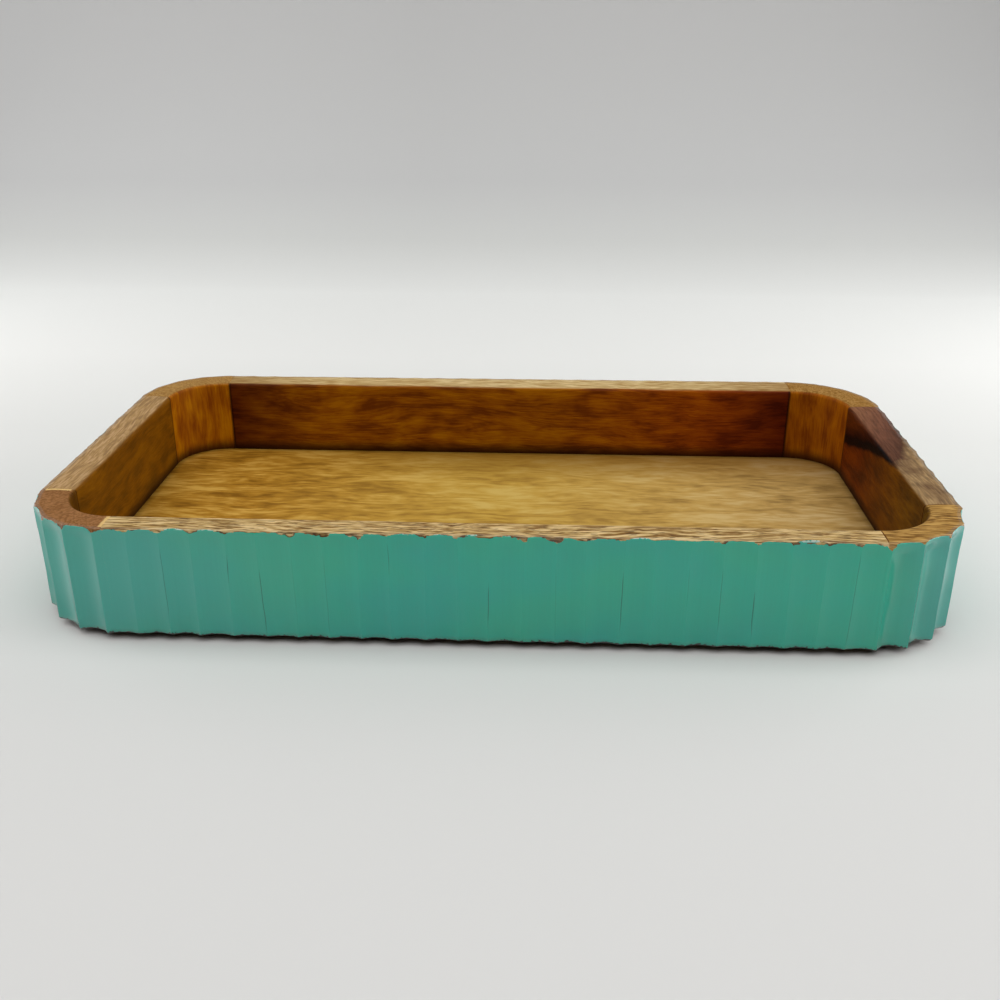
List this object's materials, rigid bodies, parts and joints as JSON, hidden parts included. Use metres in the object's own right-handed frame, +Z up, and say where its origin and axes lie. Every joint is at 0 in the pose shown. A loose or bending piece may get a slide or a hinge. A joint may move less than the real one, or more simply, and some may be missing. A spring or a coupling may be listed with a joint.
{
  "type": "wooden tray",
  "caption": "Shallow rectangular wooden tray with round corners, a fluted and painted outside, a bare wood rim and inside, and a flat base, for serving or keeping small things.",
  "frame": {"origin": "on the table under the middle of the tray, in the plane of the bumpers' feet", "axes": "+X along the tray's length to the right, +Y from the front to the back, +Z up"},
  "size_m": [0.305, 0.162, 0.0403],
  "materials": {
    "painted_mango": "mango wood, gouged and painted satin teal outside, bare and oiled on the rim and inside",
    "bare_mango": "mango wood, sanded and oiled",
    "beech_dowel": "turned beech, unfinished",
    "steel_brad": "drawn steel wire, bright",
    "rubber_bumper": "moulded black rubber, matt"
  },
  "bodies": {
    "root": {"front_rail": "painted_mango", "right_rail": "painted_mango", "back_rail": "painted_mango", "left_rail": "painted_mango", "corner_front_left": "painted_mango", "corner_front_right": "painted_mango", "corner_back_right": "painted_mango", "corner_back_left": "painted_mango", "base_panel": "bare_mango", "dowel_front_rail_left_lower": "beech_dowel", "dowel_front_rail_left_upper": "beech_dowel", "dowel_front_rail_right_lower": "beech_dowel", "dowel_front_rail_right_upper": "beech_dowel", "dowel_right_rail_front_lower": "beech_dowel", "dowel_right_rail_front_upper": "beech_dowel", "dowel_right_rail_back_lower": "beech_dowel", "dowel_right_rail_back_upper": "beech_dowel", "dowel_back_rail_right_lower": "beech_dowel", "dowel_back_rail_right_upper": "beech_dowel", "dowel_back_rail_left_lower": "beech_dowel", "dowel_back_rail_left_upper": "beech_dowel", "dowel_left_rail_back_lower": "beech_dowel", "dowel_left_rail_back_upper": "beech_dowel", "dowel_left_rail_front_lower": "beech_dowel", "dowel_left_rail_front_upper": "beech_dowel", "brad_front_1": "steel_brad", "brad_front_2": "steel_brad", "brad_front_3": "steel_brad", "brad_front_4": "steel_brad", "brad_right_1": "steel_brad", "brad_right_2": "steel_brad", "brad_back_1": "steel_brad", "brad_back_2": "steel_brad", "brad_back_3": "steel_brad", "brad_back_4": "steel_brad", "brad_left_1": "steel_brad", "brad_left_2": "steel_brad", "bumper_front_left": "rubber_bumper", "bumper_front_right": "rubber_bumper", "bumper_back_right": "rubber_bumper", "bumper_back_left": "rubber_bumper"}
  },
  "joints": []
}
